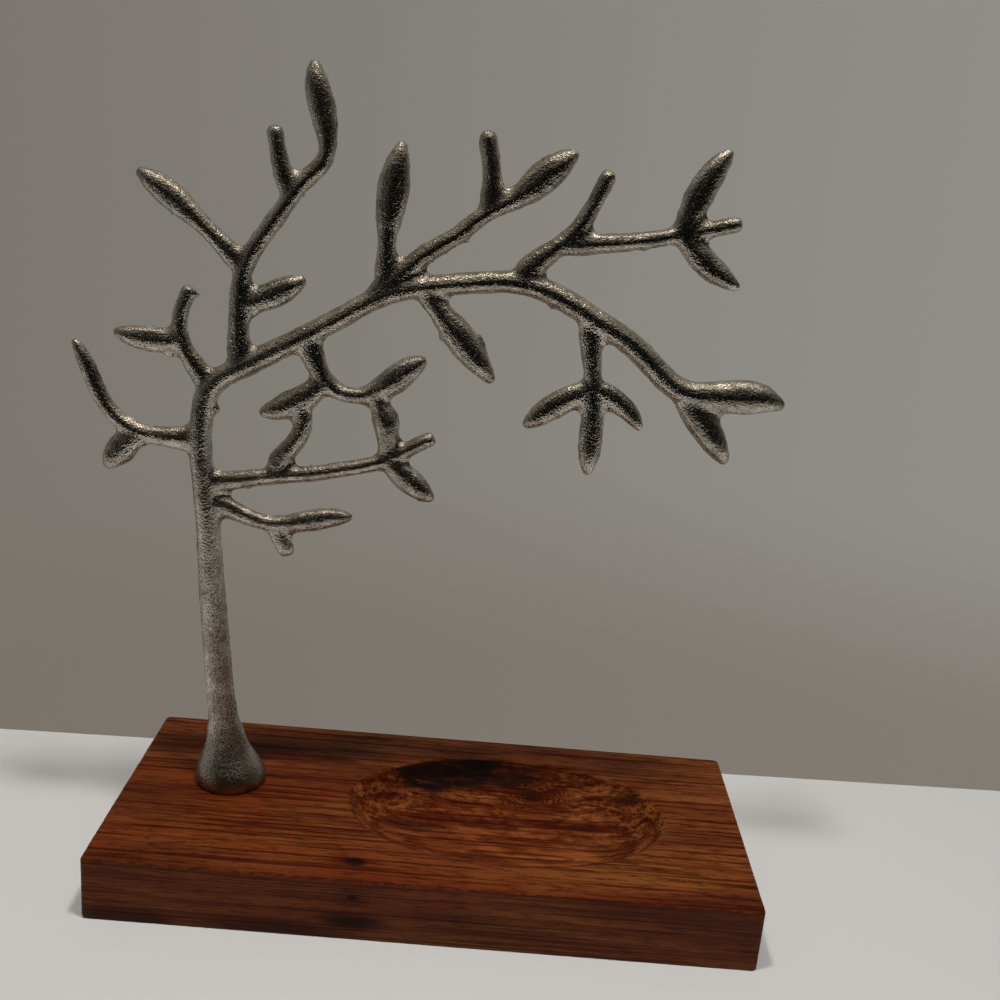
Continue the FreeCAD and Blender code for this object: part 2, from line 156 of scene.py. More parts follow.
# oiled hardwood: reddish brown with fine dark lines along the block, a low sheen, a few knots, a dark heart stain and
# painted shade on the back wall of the dish
# the pore tone also darkens the painted shade on the dish's back wall
woodTones = dict(honey="#76411b", body="#602c0e", ember="#60240a", amber="#985529", dusk="#2b0400",
                 dry="#8a6149", poreAndShade="#0e0302")
grain = dict(                        # sizes in mm, along, across and up
    pith=(-24.0, -92.0),             # the middle of the log, across and below
    yearRing=6.2,
    line=(105.0, 2.2, 1.1),          # real lines are near 0.5 mm, drawn coarser so that they show
    fibre=(9.0, 1.3, 0.7),           # real fibres are near 0.2 mm, drawn coarser so that they show
    flame=(17.0, 6.0, 6.0),
    curl=(3.6, 3.4, 3.4),
    patch=(95.0, 34.0, 34.0),
    gloom=(110.0, 26.0, 26.0),       # darker heartwood
    sway=(120.0, 38.0, 38.0),        # how the year rings wander
    ragged=(26.0, 3.2, 3.2),         # and how their edges do
    wobble=(9.0, 7.0, 7.0),          # the same for a knot's own rings
    chip=(3.4, 1.6, 1.6),            # dark chips along the front edge
    streak=(30.0, 2.2, 2.2),         # thinner places in the stains
    half=(127.0, 57.0),              # of the block, along and across
    marks=(
        # place and half size, how far the year rings bend, spacing of the knot's own rings,
        # then the size, fade and darkness of its middle, and whether only the dish shows it
        dict(at=(42, 27, 16), half=(14, 10, 40), bend=6.0, rings=2.3, core=0.3, fade=0.6, dark=0.92, inDish=False),
        dict(at=(-27, -45, 25), half=(9.5, 6, 5), bend=4.0, rings=0.0, core=0.46, fade=0.4, dark=0.96, inDish=False),
        dict(at=(83, 22, 19), half=(9, 8, 20), bend=2.0, rings=0.0, core=0.55, fade=0.6, dark=0.65, inDish=False),
        dict(at=(-26, -57, 18), half=(6, 8, 4), bend=1.0, rings=1.5, core=0.34, fade=0.5, dark=0.8, inDish=False),
        dict(at=(-26, -57, 8), half=(18, 8, 5), bend=0.0, rings=0.0, core=0.7, fade=0.6, dark=0.9, inDish=False),
        # darker heartwood on the front face and at the left end
        dict(at=(-110, -57, 2), half=(24, 8, 5), bend=0.0, rings=0.0, core=0.8, fade=0.6, dark=0.75, inDish=False),
        dict(at=(-58, -57, 3), half=(34, 8, 5), bend=0.0, rings=0.0, core=0.75, fade=0.7, dark=0.65, inDish=False),
        dict(at=(10, -57, 12), half=(26, 8, 6), bend=0.0, rings=0.0, core=0.7, fade=0.7, dark=0.35, inDish=False),
        dict(at=(-118, -6, 25), half=(16, 13, 30), bend=0.0, rings=0.0, core=0.7, fade=0.7, dark=0.35, inDish=False),
        # the dark back wall of the dish and its tail, a dark stain with painted shade on the steep wall; stains: a
        # streak on the floor; and a darker band behind the trunk
        # painted shade: the steep back wall of the dish and its tail are darkened, partly as a dark stain
        dict(at=(-7, 32, 20), half=(16, 9, 40), bend=0.0, rings=0.0, core=1.0, fade=0.25, dark=0.98, inDish=True),
        dict(at=(8, 38, 20), half=(20, 10, 40), bend=0.0, rings=0.0, core=1.0, fade=0.3, dark=0.98, inDish=True),
        dict(at=(27, 35, 20), half=(18, 4, 40), bend=0.0, rings=0.0, core=0.9, fade=0.5, dark=0.85, inDish=True),
        dict(at=(-6, 0, 15), half=(17, 4, 40), bend=0.0, rings=0.0, core=0.8, fade=0.6, dark=0.55, inDish=True),
        dict(at=(-44, 40, 25), half=(58, 9, 60), bend=0.0, rings=0.0, core=0.8, fade=0.6, dark=0.3, inDish=False)))

hardwood, tree, inMm, shader = newMaterial("oiledHardwood")
apart = addNode(tree, "ShaderNodeSeparateXYZ", {"Vector": inMm})
ragged = addNode(tree, rangeNode, [patternInMm(tree, inMm, grain["ragged"], 3.0), 0.2, 0.8, -0.8, 0.8],
                 interpolation_type="SMOOTHSTEP")
wobble = addNode(tree, rangeNode, [patternInMm(tree, inMm, grain["wobble"], 3.0), 0.2, 0.8, -3.2, 3.2],
                 interpolation_type="SMOOTHSTEP")
# 1 on the block's sides
toSide = addNode(tree, mathNode,
                 [addNode(tree, mathNode,
                          [addNode(tree, mathNode, [apart.outputs["X"]], operation="ABSOLUTE"), grain["half"][0]],
                          operation="DIVIDE"),
                  addNode(tree, mathNode,
                          [addNode(tree, mathNode, [apart.outputs["Y"]], operation="ABSOLUTE"), grain["half"][1]],
                          operation="DIVIDE")], operation="MAXIMUM")
carvedIn = addNode(tree, mathNode,
                   [addNode(tree, rangeNode, [apart.outputs["Z"], 25.39, 24.6], interpolation_type="SMOOTHSTEP"),
                    addNode(tree, rangeNode, [toSide, 0.96, 0.9], interpolation_type="SMOOTHSTEP")],
                   operation="MULTIPLY")
bend, stainAndShade, eyes, plain = 0.0, 0.0, 0.0, 1.0
for mark in grain["marks"]:
    away = addNode(tree, "ShaderNodeVectorMath", [inMm, mark["at"]], operation="SUBTRACT")
    away = addNode(tree, "ShaderNodeVectorMath", [away, [1 / h for h in mark["half"]]], operation="MULTIPLY")
    away = addNode(tree, "ShaderNodeVectorMath", [away], operation="LENGTH").outputs["Value"]
    inner, outer = mark["core"] * (1 - mark["fade"]), mark["core"] * (1 + mark["fade"])
    shade = addNode(tree, rangeNode, [away, inner, outer, mark["dark"], 0.0], interpolation_type="SMOOTHSTEP")
    if mark["inDish"]:                               # only on the carved side of the lip
        shade = addNode(tree, mathNode, [shade, carvedIn], operation="MULTIPLY")
    # the knots and stains gather here, with the painted shade on the dish's back wall
    stainAndShade = addNode(tree, mathNode, [stainAndShade, shade], operation="MAXIMUM")
    if mark["bend"]:
        bend = addNode(tree, mathNode,
                       [bend,
                        addNode(tree, rangeNode, [away, 0.0, 1.6, mark["bend"], 0.0],
                                interpolation_type="SMOOTHSTEP")], operation="ADD")
    if mark["rings"]:
        outward = addNode(tree, mathNode,
                          [addNode(tree, mathNode, [away, mark["half"][0]], operation="MULTIPLY"), wobble],
                          operation="ADD")
        ripple = addNode(tree, mathNode, [addNode(tree, mathNode, [outward, mark["rings"]], operation="DIVIDE")],
                         operation="FRACT")
        ripple = addNode(tree, mathNode,
                         [addNode(tree, rangeNode, [ripple, 0.2, 0.7], interpolation_type="SMOOTHSTEP"),
                          addNode(tree, rangeNode, [away, 0.7, 1.5, 0.9, 0.0], interpolation_type="SMOOTHSTEP")],
                         operation="MULTIPLY")
        eyes = addNode(tree, mathNode, [eyes, ripple], operation="MAXIMUM")
        # flecks give way to the knot's own rings
        plain = addNode(tree, mathNode,
                        [plain, addNode(tree, rangeNode, [away, 0.7, 1.5], interpolation_type="SMOOTHSTEP")],
                        operation="MULTIPLY")
sway = addNode(tree, rangeNode, [patternInMm(tree, inMm, grain["sway"], 2.0), 0.2, 0.8, -8.0, 8.0],
               interpolation_type="SMOOTHSTEP")
across = addNode(tree, mathNode,
                 [addNode(tree, mathNode, [apart.outputs["Y"], grain["pith"][0]], operation="SUBTRACT"), sway],
                 operation="ADD")
below = addNode(tree, mathNode, [apart.outputs["Z"], grain["pith"][1]], operation="SUBTRACT")
fromPith = addNode(tree, mathNode,
                   [addNode(tree, mathNode,
                            [addNode(tree, mathNode, [across, 2.0], operation="POWER"),
                             addNode(tree, mathNode, [below, 2.0], operation="POWER")], operation="ADD")],
                   operation="SQRT")
fromPith = addNode(tree, mathNode, [addNode(tree, mathNode, [fromPith, bend], operation="ADD"), ragged],
                   operation="ADD")
ringPlace = addNode(tree, mathNode, [addNode(tree, mathNode, [fromPith, grain["yearRing"]], operation="DIVIDE")],
                    operation="FRACT")
lateWood = addNode(tree, mathNode,
                   [addNode(tree, rangeNode, [ringPlace, 0.0, 0.8], interpolation_type="SMOOTHSTEP"),
                    addNode(tree, rangeNode, [ringPlace, 1.0, 0.86], interpolation_type="SMOOTHSTEP")],
                   operation="MULTIPLY")
lines = addNode(tree, rangeNode, [patternInMm(tree, inMm, grain["line"], 2.0, 0.65), 0.49, 0.62],
                interpolation_type="SMOOTHSTEP")
fibres = addNode(tree, rangeNode, [patternInMm(tree, inMm, grain["fibre"], 3.0, 0.75), 0.46, 0.66],
                 interpolation_type="SMOOTHSTEP")
curls = addNode(tree, rangeNode, [patternInMm(tree, inMm, grain["curl"], 2.0, 0.6), 0.48, 0.62],
                interpolation_type="SMOOTHSTEP")
curls = addNode(tree, mathNode,
                [addNode(tree, mathNode, [curls, carvedIn], operation="MULTIPLY"),
                 addNode(tree, rangeNode, [apart.outputs["Y"], -14, 10], interpolation_type="SMOOTHSTEP")],
                operation="MULTIPLY")
curls = addNode(tree, mathNode, [curls, plain], operation="MULTIPLY")
backStrip = addNode(tree, rangeNode, [apart.outputs["Y"], 30, 47], interpolation_type="SMOOTHSTEP")
patches = addNode(tree, rangeNode,
                  [patternInMm(tree, inMm, grain["patch"], 3.0, 0.55, (3.1, 0.4, 0.0)), 0.36, 0.66],
                  interpolation_type="SMOOTHSTEP")
flames = addNode(tree, rangeNode, [patternInMm(tree, inMm, grain["flame"], 2.0, 0.6), 0.42, 0.66],
                 interpolation_type="SMOOTHSTEP")
# the sapwood side, behind the dish
sapwood = addNode(tree, mathNode,
                  [backStrip,
                   addNode(tree, mathNode, [addNode(tree, mathNode, [flames, 0.4], operation="MULTIPLY"), 0.3],
                           operation="ADD")], operation="MULTIPLY")
flames = addNode(tree, mathNode,
                 [addNode(tree, mathNode,
                          [flames, addNode(tree, mathNode, [carvedIn, plain], operation="MULTIPLY")],
                          operation="MULTIPLY"), sapwood], operation="MAXIMUM")
gloom = addNode(tree, rangeNode,
                [patternInMm(tree, inMm, grain["gloom"], 1.0, 0.5, (7.3, 1.9, 0.0)), 0.48, 0.74, 0.0, 0.5],
                interpolation_type="SMOOTHSTEP")
colour = addNode(tree, mixNode, {0: lateWood, 6: linear(woodTones["honey"]), 7: linear(woodTones["body"])},
                 data_type="RGBA")
colour = addNode(tree, mixNode,
                 {0: addNode(tree, mathNode, [patches, 0.7], operation="MULTIPLY"), 6: colour,
                  7: linear(woodTones["ember"])}, data_type="RGBA")
gloom = addNode(tree, mathNode, [gloom, addNode(tree, mathNode, [1.0, backStrip], operation="SUBTRACT")],
                operation="MULTIPLY")
colour = addNode(tree, mixNode, {0: gloom, 6: colour, 7: linear(woodTones["dusk"])}, data_type="RGBA")
colour = addNode(tree, mixNode,
                 {0: addNode(tree, mathNode, [flames, 0.48], operation="MULTIPLY"), 6: colour,
                  7: linear(woodTones["amber"])}, data_type="RGBA")
# rings that the bowl lays bare
contours = addNode(tree, mathNode,
                   [addNode(tree, rangeNode, [ringPlace, 0.45, 0.85], interpolation_type="SMOOTHSTEP"), carvedIn],
                   operation="MULTIPLY")
chipped = addNode(tree, mathNode,
                  [addNode(tree, rangeNode, [apart.outputs["Z"], 24.1, 25.0], interpolation_type="SMOOTHSTEP"),
                   addNode(tree, rangeNode, [apart.outputs["Y"], -55.8, -56.7], interpolation_type="SMOOTHSTEP")],
                  operation="MULTIPLY")
chipped = addNode(tree, mathNode,
                  [chipped,
                   addNode(tree, rangeNode, [patternInMm(tree, inMm, grain["chip"], 3.0), 0.4, 0.62],
                           interpolation_type="SMOOTHSTEP")], operation="MULTIPLY")
for field, share in ((lines, 0.75), (fibres, 0.75), (curls, 0.6), (contours, 0.5), (eyes, 0.9), (chipped, 0.9)):
    colour = addNode(tree, mixNode,
                     {0: addNode(tree, mathNode, [field, share], operation="MULTIPLY"), 6: colour,
                      7: linear(woodTones["dusk"])}, data_type="RGBA")
# the sawn sides took less oil
drySides = addNode(tree, rangeNode, [toSide, 0.989, 0.997, 0.0, 0.07], interpolation_type="SMOOTHSTEP")
colour = addNode(tree, mixNode, {0: drySides, 6: colour, 7: linear(woodTones["dry"])}, data_type="RGBA")
stainAndShade = addNode(tree, mathNode,
                [stainAndShade,
                 addNode(tree, rangeNode, [patternInMm(tree, inMm, grain["streak"], 2.0), 0.25, 0.5, 0.7, 1.0],
                         interpolation_type="SMOOTHSTEP")], operation="MULTIPLY")
# the stains and the painted shade on the dish's back wall go towards the pore tone
colour = addNode(tree, mixNode, {0: stainAndShade, 6: colour, 7: linear(woodTones["poreAndShade"])}, data_type="RGBA")
tree.links.new(colour.outputs[2], shader.inputs["Base Color"])
shader.inputs["Specular IOR Level"].default_value = 0.09
tree.links.new(addNode(tree, rangeNode, [lines, 0.0, 1.0, 0.5, 0.64], interpolation_type="SMOOTHSTEP").outputs[0],
               shader.inputs["Roughness"])
relief = addNode(tree, mathNode,
                 [1.0,
                  addNode(tree, mathNode, [addNode(tree, mathNode, [lines, 0.5], operation="MULTIPLY"), fibres],
                          operation="ADD")], operation="SUBTRACT")
dents = addNode(tree, "ShaderNodeBump", {"Height": relief, "Strength": 0.3, "Distance": 0.00012})
tree.links.new(dents.outputs[0], shader.inputs["Normal"])
print("wood material made")

# nickel-toned sand casting: warm grey metal with a grainy skin that breaks up its reflections
# the tone towards the foot is painted shade, a stand-in for dark reflections
castTones = dict(bright="#d3ccc0", dull="#aca599", footShade="#5a5046", pit="#2b2620")
castGrain = dict(sand=1.0, fine=0.6, blotch=7.0)   # mm; the real sand is near 0.5 mm, drawn coarser so that it shows

castMetal, tree, inMm, shader = newMaterial("sandCastMetal")
sand = patternInMm(tree, inMm, (castGrain["sand"],) * 3, 2.0, 0.6)
fine = patternInMm(tree, inMm, (castGrain["fine"],) * 3, 1.0)
blotch = patternInMm(tree, inMm, (castGrain["blotch"],) * 3, 3.0)
colour = addNode(tree, mixNode,
                 {0: addNode(tree, rangeNode, [blotch, 0.35, 0.65], interpolation_type="SMOOTHSTEP"),
                  6: linear(castTones["bright"]), 7: linear(castTones["dull"])}, data_type="RGBA")
apart = addNode(tree, "ShaderNodeSeparateXYZ", {"Vector": inMm})
pits = addNode(tree, mathNode,
               [addNode(tree, rangeNode, [sand, 0.5, 0.34], interpolation_type="SMOOTHSTEP"),
                addNode(tree, rangeNode, [apart.outputs["Z"], 45, 90, 0.2, 0.45], interpolation_type="SMOOTHSTEP")],
               operation="MULTIPLY")
colour = addNode(tree, mixNode, {0: pits, 6: colour, 7: linear(castTones["pit"])}, data_type="RGBA")
# painted shade: darker towards the foot, standing in for the dark wood and dark room that the foot reflects
colour = addNode(tree, mixNode,
                 {0: addNode(tree, rangeNode, [apart.outputs["Z"], 34, 68, 0.45, 0.0],
                             interpolation_type="SMOOTHSTEP"), 6: colour, 7: linear(castTones["footShade"])},
                 data_type="RGBA")
tree.links.new(colour.outputs[2], shader.inputs["Base Color"])
shader.inputs["Metallic"].default_value = 1.0
wear = addNode(tree, mathNode,
               [addNode(tree, rangeNode, [blotch, 0.3, 0.7, 0.1, 0.16], interpolation_type="SMOOTHSTEP"),
                addNode(tree, rangeNode, [sand, 0.3, 0.7, 0.06, -0.02], interpolation_type="SMOOTHSTEP")],
               operation="ADD")
# the foot is duller
wear = addNode(tree, mathNode,
               [wear,
                addNode(tree, rangeNode, [apart.outputs["Z"], 32, 62, 0.14, 0.0], interpolation_type="SMOOTHSTEP")],
               operation="ADD")
tree.links.new(wear.outputs[0], shader.inputs["Roughness"])
relief = addNode(tree, mathNode, [sand, addNode(tree, mathNode, [fine, 0.6], operation="MULTIPLY")],
                 operation="ADD")
onTrunk = addNode(tree, mathNode,
                  [addNode(tree, rangeNode, [apart.outputs["Z"], 140, 112], interpolation_type="SMOOTHSTEP"),
                   addNode(tree, rangeNode, [apart.outputs["X"], -64, -70], interpolation_type="SMOOTHSTEP")],
                  operation="MULTIPLY")
handled = addNode(tree, mathNode,
                  [addNode(tree, rangeNode, [apart.outputs["Z"], 28, 75, -0.1, 1.0],
                           interpolation_type="SMOOTHSTEP"), onTrunk], operation="ADD")
# smoother at the foot, coarsest on the trunk
relief = addNode(tree, mathNode, [relief, handled], operation="MULTIPLY")
dents = addNode(tree, "ShaderNodeBump", {"Height": relief, "Strength": 0.8, "Distance": 0.00034})
tree.links.new(dents.outputs[0], shader.inputs["Normal"])
print("cast metal material made")

# zinc-plated steel: a bright, slightly bluish metal with a faint haze
platedSteel, tree, inMm, shader = newMaterial("zincPlatedSteel")
shader.inputs["Base Color"].default_value = linear("#c3c5c8")
shader.inputs["Metallic"].default_value = 1.0
haze = patternInMm(tree, inMm, (0.8, 0.8, 0.8), 2.0)
tree.links.new(addNode(tree, rangeNode, [haze, 0.3, 0.7, 0.22, 0.38], interpolation_type="SMOOTHSTEP").outputs[0],
               shader.inputs["Roughness"])

# the block with its dish
blockLow, blockHigh = (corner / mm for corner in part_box("wood_base"))
block = dict(
    half=((blockHigh.x - blockLow.x) / 2, (blockHigh.y - blockLow.y) / 2), height=blockHigh.z,
    cornerRound=2.4, edgeRound=0.8,
    edgeWear=0.6, wearSizes=(7, 2.3), calmWear=0.35,   # worn most at the left end, by the calm share elsewhere
    dishAt=(30.0, 0.5), dishHalf=(65.0, 40.5),
    dishProfile=((-1.8, 0.0), (-0.9, 0.1), (0.0, 0.48), (1.1, 1.4), (2.8, 3.1), (5.0, 5.06), (8.5, 7.4), (13.0, 9.35),
                 (19.0, 10.6), (27.0, 11.0)),        # inset and depth, in mm
    ripple=0.16, rippleSizes=(11, 5), rimSwing=0.35, steps=300,   # tool marks and a wandering rim
    screwAt=(-86.0, 7.5), boreRadius=10.5, boreDepth=9.0, holeRadius=3.3)


def onRectangle(angle, inset):
    # where a ray from the dish's middle leaves the block's outline, set in by inset
    cx, cy = block["dishAt"]
    dx, dy = math.cos(angle), math.sin(angle)
    hx, hy = block["half"][0] - inset, block["half"][1] - inset
    reach = min(((hx if dx > 0 else -hx) - cx) / dx if abs(dx) > 1e-9 else 1e9,
                ((hy if dy > 0 else -hy) - cy) / dy if abs(dy) > 1e-9 else 1e9)
    x, y = cx + dx * reach, cy + dy * reach
    r = max(block["cornerRound"] - inset, 0.2)
    kx, ky = math.copysign(hx - r, x), math.copysign(hy - r, y)
    if abs(x) > hx - r and abs(y) > hy - r:          # in a corner, the ray stops at its round
        ox, oy = cx - kx, cy - ky
        b = ox * dx + oy * dy
        reach = -b + math.sqrt(max(b * b - (ox * ox + oy * oy - r * r), 0.0))
        x, y = cx + dx * reach, cy + dy * reach
    return x, y


def blockAngles():
    a, b = block["dishHalf"]
    angles = [math.atan2(b * math.sin(t), a * math.cos(t))
              for t in (2 * math.pi * k / block["steps"] for k in range(block["steps"]))]
    r = block["cornerRound"]
    for sx in (-1, 1):
        for sy in (-1, 1):                           # more steps round each corner
            for k in range(7):
                t = math.pi / 2 * k / 6
                x = sx * (block["half"][0] - r + r * math.cos(t)) - block["dishAt"][0]
                y = sy * (block["half"][1] - r + r * math.sin(t)) - block["dishAt"][1]
                angles.append(math.atan2(y, x))
    return sorted(angles)


def smoothProfile(profile, between):
    # points along a smooth curve through the profile's own points
    out = []
    for k in range(len(profile) - 1):
        p = [Vector(profile[min(max(k + d, 0), len(profile) - 1)]) for d in (-1, 0, 1, 2)]
        for step in range(between):
            t = step / between
            out.append(0.5 * (2 * p[1] + (p[2] - p[0]) * t + (2 * p[0] - 5 * p[1] + 4 * p[2] - p[3]) * t * t
                              + (3 * p[1] - p[0] - 3 * p[2] + p[3]) * t ** 3))
    return out + [Vector(profile[-1])]


def carvedBlock():
    angles = blockAngles()
    cx, cy = block["dishAt"]
    top, rings = block["height"], []

    def wave(x, y, z, size):                         # -1 to 1, the same on every run
        return noise.noise(Vector((x, y, z)) / size)

    def dishRing(inset, depth, shrink=1.0):
        ring = []
        for angle in angles:
            a, b = block["dishHalf"][0] - inset, block["dishHalf"][1] - inset
            t = math.atan2(math.sin(angle) / block["dishHalf"][1], math.cos(angle) / block["dishHalf"][0])
            x, y = cx + a * shrink * math.cos(t), cy + b * shrink * math.sin(t)
            carve = min(max(depth / 4, 0.0), 1.0)
            wide, narrow = block["rippleSizes"]
            off = block["ripple"] * carve * (wave(x, y, 3, wide) + 0.5 * wave(x, y, 8, narrow))
            swing = block["rimSwing"] * wave(x, y, 5, 17) * min(1.0, max(0.0, depth / 1.5))
            ring.append((x + swing * math.cos(angle), y + swing * math.sin(angle), top - depth + off))
        return ring

    def edgeRing(turn, bottom):
        # turn goes from 0 on the flat face to 1 on the side
        ring = []
        for angle in angles:
            x, y = onRectangle(angle, 0.0)
            wide, narrow = block["wearSizes"]
            worn = 0.5 + 0.5 * wave(x, y, 40 if bottom else 0, wide) + 0.35 * wave(x, y, 60 if bottom else 9, narrow)
            leftEnd = 1.0 if x < -block["half"][0] + 4 else block["calmWear"]
            e = block["edgeRound"] + block["edgeWear"] * leftEnd * max(worn, 0.0)
            x, y = onRectangle(angle, e * (1 - math.sin(turn * math.pi / 2)))
            drop = e * (1 - math.cos(turn * math.pi / 2))
            ring.append((x, y, drop if bottom else top - drop))
        return ring

    floor = smoothProfile(block["dishProfile"], 3)
    for shrink in (0.18, 0.4, 0.6, 0.8):
        inset, depth = floor[-1]
        rings.append(dishRing(inset, depth, shrink))
    for inset, depth in reversed(floor):
        rings.append(dishRing(inset, depth))
    lip, edge = rings[-1], edgeRing(0.0, False)
    for k in range(1, 9):                            # the flat top
        rings.append([tuple(p + (q - p) * k / 9 for p, q in zip(a, b)) for a, b in zip(lip, edge)])
    rings += [edgeRing(k / 5, False) for k in range(6)]
    upper, lower = rings[-1], edgeRing(1.0, True)
    for k in range(1, 7):                            # the sides
        rings.append([tuple(p + (q - p) * k / 7 for p, q in zip(a, b)) for a, b in zip(upper, lower)])
    rings += [edgeRing(k / 5, True) for k in range(5, -1, -1)]
    rim = rings[-1]
    sx, sy = block["screwAt"]
    for k in (0.35, 0.7):                            # the underside closes on the screw's axis
        rings.append([(x + (sx - x) * k, y + (sy - y) * k, 0.0) for x, y, z in rim])

    count = len(angles)
    points = [tuple(c * mm for c in p) for ring in rings for p in ring]
    faces = [(r * count + k, (r + 1) * count + k, (r + 1) * count + (k + 1) % count, r * count + (k + 1) % count)
             for r in range(len(rings) - 1) for k in range(count)]
    for x, y, z, first in ((cx, cy, top - floor[-1][1], 0), (sx, sy, 0.0, (len(rings) - 1) * count)):
        points.append((x * mm, y * mm, z * mm))
        faces += [(len(points) - 1, first + k, first + (k + 1) % count) for k in range(count)]
    return pieceFrom("carvedBlock", points, faces)


carved = carvedBlock()
boreRadius, boreDepth, holeRadius = block["boreRadius"], block["boreDepth"], block["holeRadius"]
drill = turned("drill", [(boreRadius, -2.0), (boreRadius, boreDepth), (holeRadius, boreDepth),
                         (holeRadius, block["height"] + 2)], steps=72, at=block["screwAt"])
cutAway(carved, drill)
bake(carved, hardwood, smoothAngle=38)
bpy.data.objects.remove(drill)
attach(carved, "root")
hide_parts("wood_base")
print("block made:", len(carved.data.polygons), "faces")

# the cast tree: the CAD limbs rounded, with filleted crotches, a sandy skin and bits of flash at the parting line
cast = dict(
    partingLine=7.5,                                 # mm, across the block
    crotchRound=1.7, swell=0.3, voxel=0.68, skinVoxel=0.85, even=6,
    lumpHeight=0.3, lumpSize=4.5, sandHeight=0.2, sandSize=1.1,
    seamHeight=0.3, seamWidth=0.8, nibsPerSquareMm=0.02, nibSize=0.5,
    seamPatches=120.0, seeds=(4, 11),                # patches per metre, and the draws of the nibs' places and sizes
    nibFacing=0.4, nibsAbove=0.045,                  # no nibs on the broad sides, or lower than this, in metres
    sole=(0.0256, 0.05),                             # the roughness grows between these heights, in metres
    neck=(-32.2, 189.0, 8.0, 0.5),                   # the hanging leaf narrows here: along, height, reach and share
    flash=((29.7, 232.6, 1.2), (-93.8, 183.0, 1.3), (-81.0, 153.3, 1.0), (-101.3, 226.0, 0.9), (-111.7, 202.3, 1.0),
           (-125.9, 176.6, 0.8), (-136.2, 187.8, 0.8), (-3.3, 253.5, 0.9), (4.0, 219.0, 1.0), (5.2, 216.4, 1.0),
           (-10.4, 217.4, 0.9), (87.9, 287.7, 0.9), (61.4, 255.6, 0.8)),   # place along the block, height and size
    webs=((-122.3, 168.2, 2.2), (-118.6, 169.2, 1.8), (-80.6, 221.4, 2.0)))   # fuller crotches of two leaves


def sandSkin(piece, material):
    wanted = {"Lump height": cast["lumpHeight"] * mm, "Lump size": cast["lumpSize"] * mm,
              "Sand height": cast["sandHeight"] * mm, "Sand size": cast["sandSize"] * mm,
              "Parting line": cast["partingLine"] * mm, "Seam height": cast["seamHeight"] * mm,
              "Seam width": cast["seamWidth"] * mm, "Nib density": cast["nibsPerSquareMm"] / mm ** 2,
              "Nib size": cast["nibSize"] * mm}
    skin, sockets, given = newGroup("sandSkin", wanted)
    place = addNode(skin, "GeometryNodeInputPosition")
    facing = addNode(skin, "GeometryNodeInputNormal")
    apart = addNode(skin, "ShaderNodeSeparateXYZ", {"Vector": place})

    def bumps(size, height):
        rate = addNode(skin, mathNode, [1.0, given.outputs[size]], operation="DIVIDE")
        field = addNode(skin, "ShaderNodeTexNoise", {"Vector": place, "Scale": rate, "Detail": 2.0})
        return addNode(skin, mathNode,
                       [addNode(skin, mathNode, [field.outputs[0], 0.5], operation="SUBTRACT"),
                        given.outputs[height]], operation="MULTIPLY")

    fromSeam = addNode(skin, mathNode,
                       [addNode(skin, mathNode, [apart.outputs["Y"], given.outputs["Parting line"]],
                                operation="SUBTRACT")], operation="ABSOLUTE")
    nearSeam = addNode(skin, "ShaderNodeMapRange",
                       {"Value": fromSeam, "From Max": given.outputs["Seam width"], "To Min": 1.0, "To Max": 0.0},
                       interpolation_type="SMOOTHSTEP")
    patchy = addNode(skin, "ShaderNodeTexNoise", {"Vector": place, "Scale": cast["seamPatches"], "Detail": 2.0})
    seam = addNode(skin, mathNode,
                   [addNode(skin, mathNode,
                            [nearSeam,
                             addNode(skin, rangeNode, [patchy, 0.42, 0.62], interpolation_type="SMOOTHSTEP")],
                            operation="MULTIPLY"), given.outputs["Seam height"]], operation="MULTIPLY")
    raised = addNode(skin, mathNode,
                     [addNode(skin, mathNode,
                              [bumps("Lump size", "Lump height"), bumps("Sand size", "Sand height")],
                              operation="ADD"), seam], operation="ADD")
    offSole = addNode(skin, "ShaderNodeMapRange",
                      {"Value": apart.outputs["Z"], "From Min": cast["sole"][0], "From Max": cast["sole"][1]})
    raised = addNode(skin, mathNode, [raised, offSole], operation="MULTIPLY")
    push = addNode(skin, "ShaderNodeVectorMath", {0: facing, "Scale": raised}, operation="SCALE")
    rough = addNode(skin, "GeometryNodeSetPosition", {"Geometry": given.outputs["Geometry"], "Offset": push})

    # nibs of flash, only near the parting line and above the foot
    sideways = addNode(skin, mathNode, [addNode(skin, "ShaderNodeSeparateXYZ", {"Vector": facing}).outputs["Y"]],
                       operation="ABSOLUTE")
    where = addNode(skin, mathNode,
                    [addNode(skin, mathNode, [sideways, cast["nibFacing"]], operation="LESS_THAN"),
                     addNode(skin, mathNode, [apart.outputs["Z"], cast["nibsAbove"]], operation="GREATER_THAN")],
                    operation="MULTIPLY")
    where = addNode(skin, mathNode, [where, nearSeam], operation="MULTIPLY")
    spread = addNode(skin, "GeometryNodeDistributePointsOnFaces",
                     {"Mesh": rough,
                      "Density": addNode(skin, mathNode, [where, given.outputs["Nib density"]],
                                         operation="MULTIPLY"), "Seed": cast["seeds"][0]})
    nib = addNode(skin, "GeometryNodeMeshIcoSphere", {"Radius": given.outputs["Nib size"], "Subdivisions": 1})
    sizes = addNode(skin, "FunctionNodeRandomValue",
                    {0: (0.4, 0.4, 0.4), 1: (1.1, 1.0, 1.0), "Seed": cast["seeds"][1]}, data_type="FLOAT_VECTOR")
    nibs = addNode(skin, "GeometryNodeInstanceOnPoints",
                   {"Points": spread.outputs["Points"], "Instance": nib, "Rotation": spread.outputs["Rotation"],
                    "Scale": sizes})
    both = addNode(skin, "GeometryNodeJoinGeometry", {"Geometry": nibs})
    skin.links.new(rough.outputs[0], both.inputs["Geometry"])
    whole = addNode(skin, "GeometryNodeRealizeInstances", {"Geometry": both})
    coated = addNode(skin, "GeometryNodeSetMaterial", {"Geometry": whole, "Material": material})
    addNode(skin, "NodeGroupOutput", {"Geometry": coated})

    dress(piece, skin, sockets, wanted)


